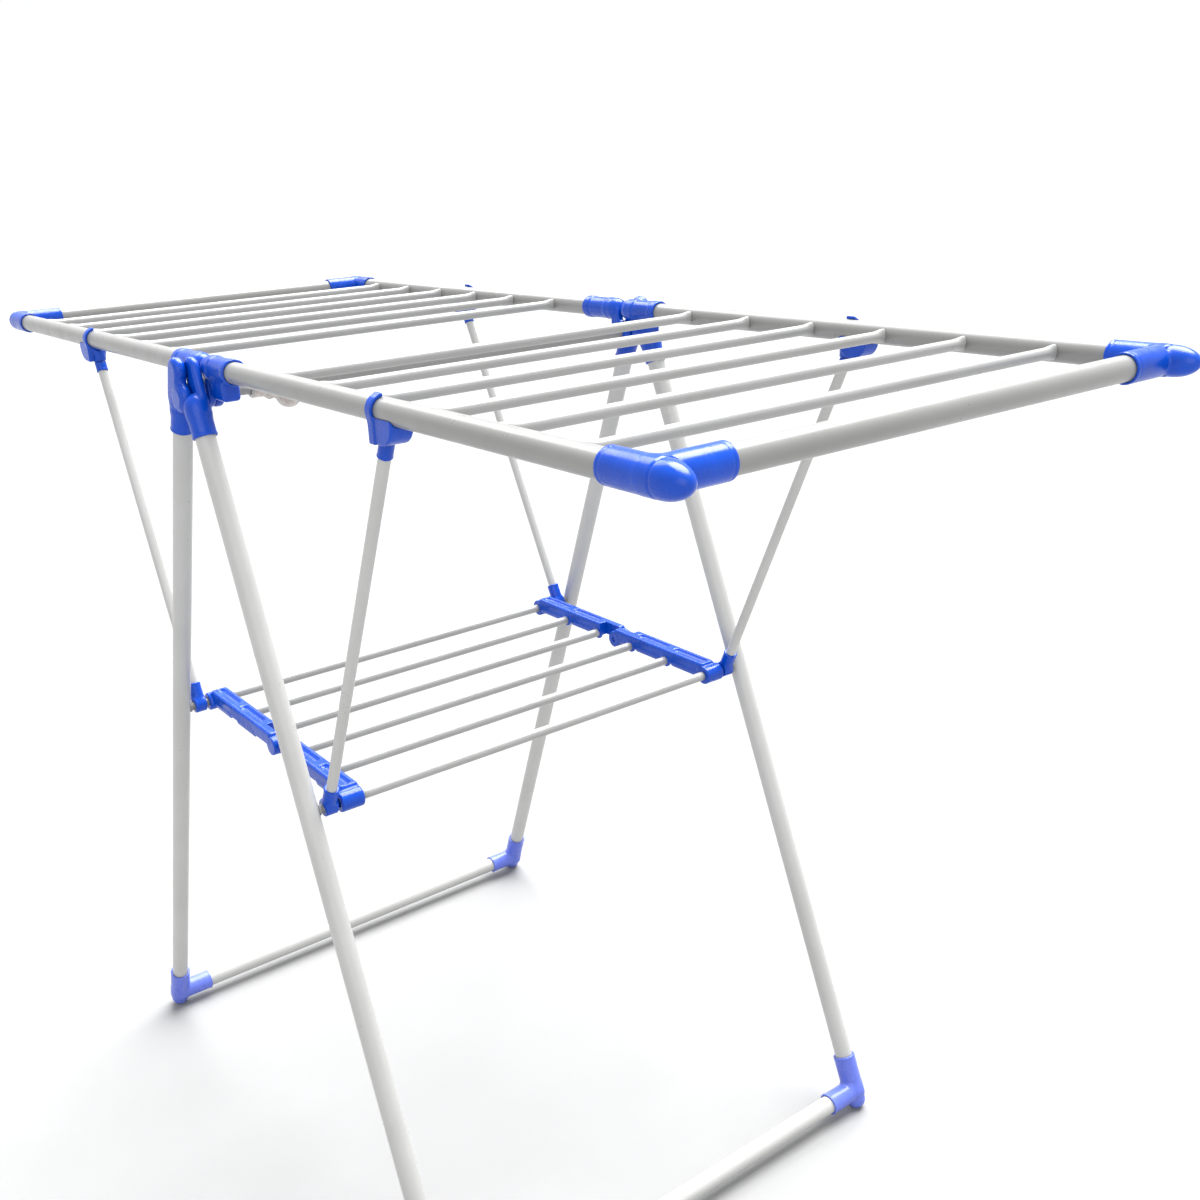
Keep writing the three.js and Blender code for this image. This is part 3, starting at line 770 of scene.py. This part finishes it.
# ---- shelf and struts --------------------------------------------------------------------
rod_shape = rod(ROD_HALF, False)
tube, lower, upper = strut_parts()
for leg, side_x, side in LEGS:
    bar_shape = shelf_bar(leg == "a")
    for end, side_y in ENDS:
        hand = {"side_x": side_x, "side_y": side_y}
        at = (side_x * SHELF_HALF, side_y * SHELF_PLANE, SHELF_HEIGHT)
        blue(f"shelf_side_{side}_{end}", bar_shape, at, f"shelf_{side}",
             replaces=f"shelf_bar_{side}_{end}", **hand)
        at = (side_x * SHELF_HALF, side_y * STRUT_PLANE, SHELF_HEIGHT)
        body = f"strut_{side}_{end}"
        white(f"strut_tube_{side}_{end}", tube, at, body, LIT_LEG_WHITE, replaces=body, **hand)
        blue(f"strut_eye_{side}_{end}", lower, at, body, **hand)
        blue(f"strut_top_{side}_{end}", upper, at, body, **hand)
    for i in range(1, SHELF_RODS + 1):
        node = f"shelf_rod_{side}_{i}"
        put(f"small_rod_{side}_{i}", rod_shape, (middle(node).x, 0, SHELF_HEIGHT), f"shelf_{side}",
            SHADED_ROD_WHITE, "white_rod", replaces=node)


# ---- floor, light and camera -------------------------------------------------------------
def floor():
    """Pale floor that the key light takes to white."""
    dark, light, reach = 0.265, 0.272, 60.0
    n = Nodes("floor_look")
    n.socket("Base Color", n.ramp(n.noise(1.2, 3), [(0.3, (dark,) * 3), (0.7, (light,) * 3)]))
    n.socket("Roughness", n.span(n.noise(6, 4), 0.75, 0.9))
    n.socket("Normal", n.bump(n.noise(300, 2), 0.04, 0.0005))
    mesh = bpy.data.meshes.new("floor")
    corners = [(x * reach, y * reach, 0) for x, y in ((-1, -1), (1, -1), (1, 1), (-1, 1))]
    mesh.from_pydata(corners, [], [(0, 1, 2, 3)])
    mesh.materials.append(n.material)
    ground = bpy.data.objects.new("floor", mesh)
    bpy.context.scene.collection.objects.link(ground)


HORIZON, SKY, SKY_FROM = (1.0, 1.0, 1.0, 1), (0.85, 0.86, 0.88, 1), 0.35
WORLD_STRENGTH = 1.05
# name, direction towards the lamp, strength, angle in degrees
LAMPS = (("key", (-0.3, 0.75, 1.6), 9.2, 48), ("strip", (-0.78, 0.12, 0.75), 1.3, 30),
         ("fill", (1.0, -0.8, 0.55), 0.8, 50))


def studio():
    """A bright sky that is palest at the horizon, and three soft suns."""
    scene = bpy.context.scene
    world = bpy.data.worlds.new("studio")
    world.use_nodes = True
    tree = world.node_tree
    coords = tree.nodes.new("ShaderNodeTexCoord")
    split = tree.nodes.new("ShaderNodeSeparateXYZ")
    ramp = tree.nodes.new("ShaderNodeValToRGB")
    tree.links.new(coords.outputs["Generated"], split.inputs["Vector"])
    tree.links.new(split.outputs["Z"], ramp.inputs["Fac"])
    low, high = ramp.color_ramp.elements
    low.position, low.color = 0.0, HORIZON
    high.position, high.color = SKY_FROM, SKY
    tree.links.new(ramp.outputs["Color"], tree.nodes["Background"].inputs["Color"])
    tree.nodes["Background"].inputs["Strength"].default_value = WORLD_STRENGTH
    scene.world = world
    scene.view_settings.view_transform = "Standard"
    for name, way, power, angle in LAMPS:
        lamp = bpy.data.lights.new(name, "SUN")
        lamp.energy = power
        lamp.angle = math.radians(angle)
        light = bpy.data.objects.new(name, lamp)
        light.rotation_euler = Vector(way).to_track_quat("Z", "Y").to_euler()
        scene.collection.objects.link(light)


IMAGE_SIDE = 1200.0
FOCAL, CENTRE_X, CENTRE_Y = 1300.0, 545.0, 598.0   # in pixels of that image
YAW, PITCH, ROLL = 55.27, -18.696, -3.1161         # in degrees
CAMERA_AT = (1.3015, -0.7713, 1.1661)              # in metres


def camera():
    yaw, pitch, roll = (math.radians(v) for v in (YAW, PITCH, ROLL))
    lens = bpy.data.cameras.new("camera")
    lens.sensor_width = 36.0
    lens.lens = FOCAL / IMAGE_SIDE * lens.sensor_width
    lens.shift_x = (IMAGE_SIDE / 2 - CENTRE_X) / IMAGE_SIDE
    lens.shift_y = (CENTRE_Y - IMAGE_SIDE / 2) / IMAGE_SIDE
    ahead = Vector((-math.sin(yaw) * math.cos(pitch), math.cos(yaw) * math.cos(pitch),
                    math.sin(pitch)))
    right = Vector((math.cos(yaw), math.sin(yaw), 0))
    up = right.cross(ahead)
    c, s = math.cos(roll), math.sin(roll)
    right, up = right * c + up * s, up * c - right * s
    view = bpy.data.objects.new("camera", lens)
    turn = Matrix((right, up, -ahead)).transposed()
    view.matrix_world = Matrix.Translation(CAMERA_AT) @ turn.to_4x4()
    bpy.context.scene.collection.objects.link(view)
    bpy.context.scene.camera = view


floor()
studio()
camera()
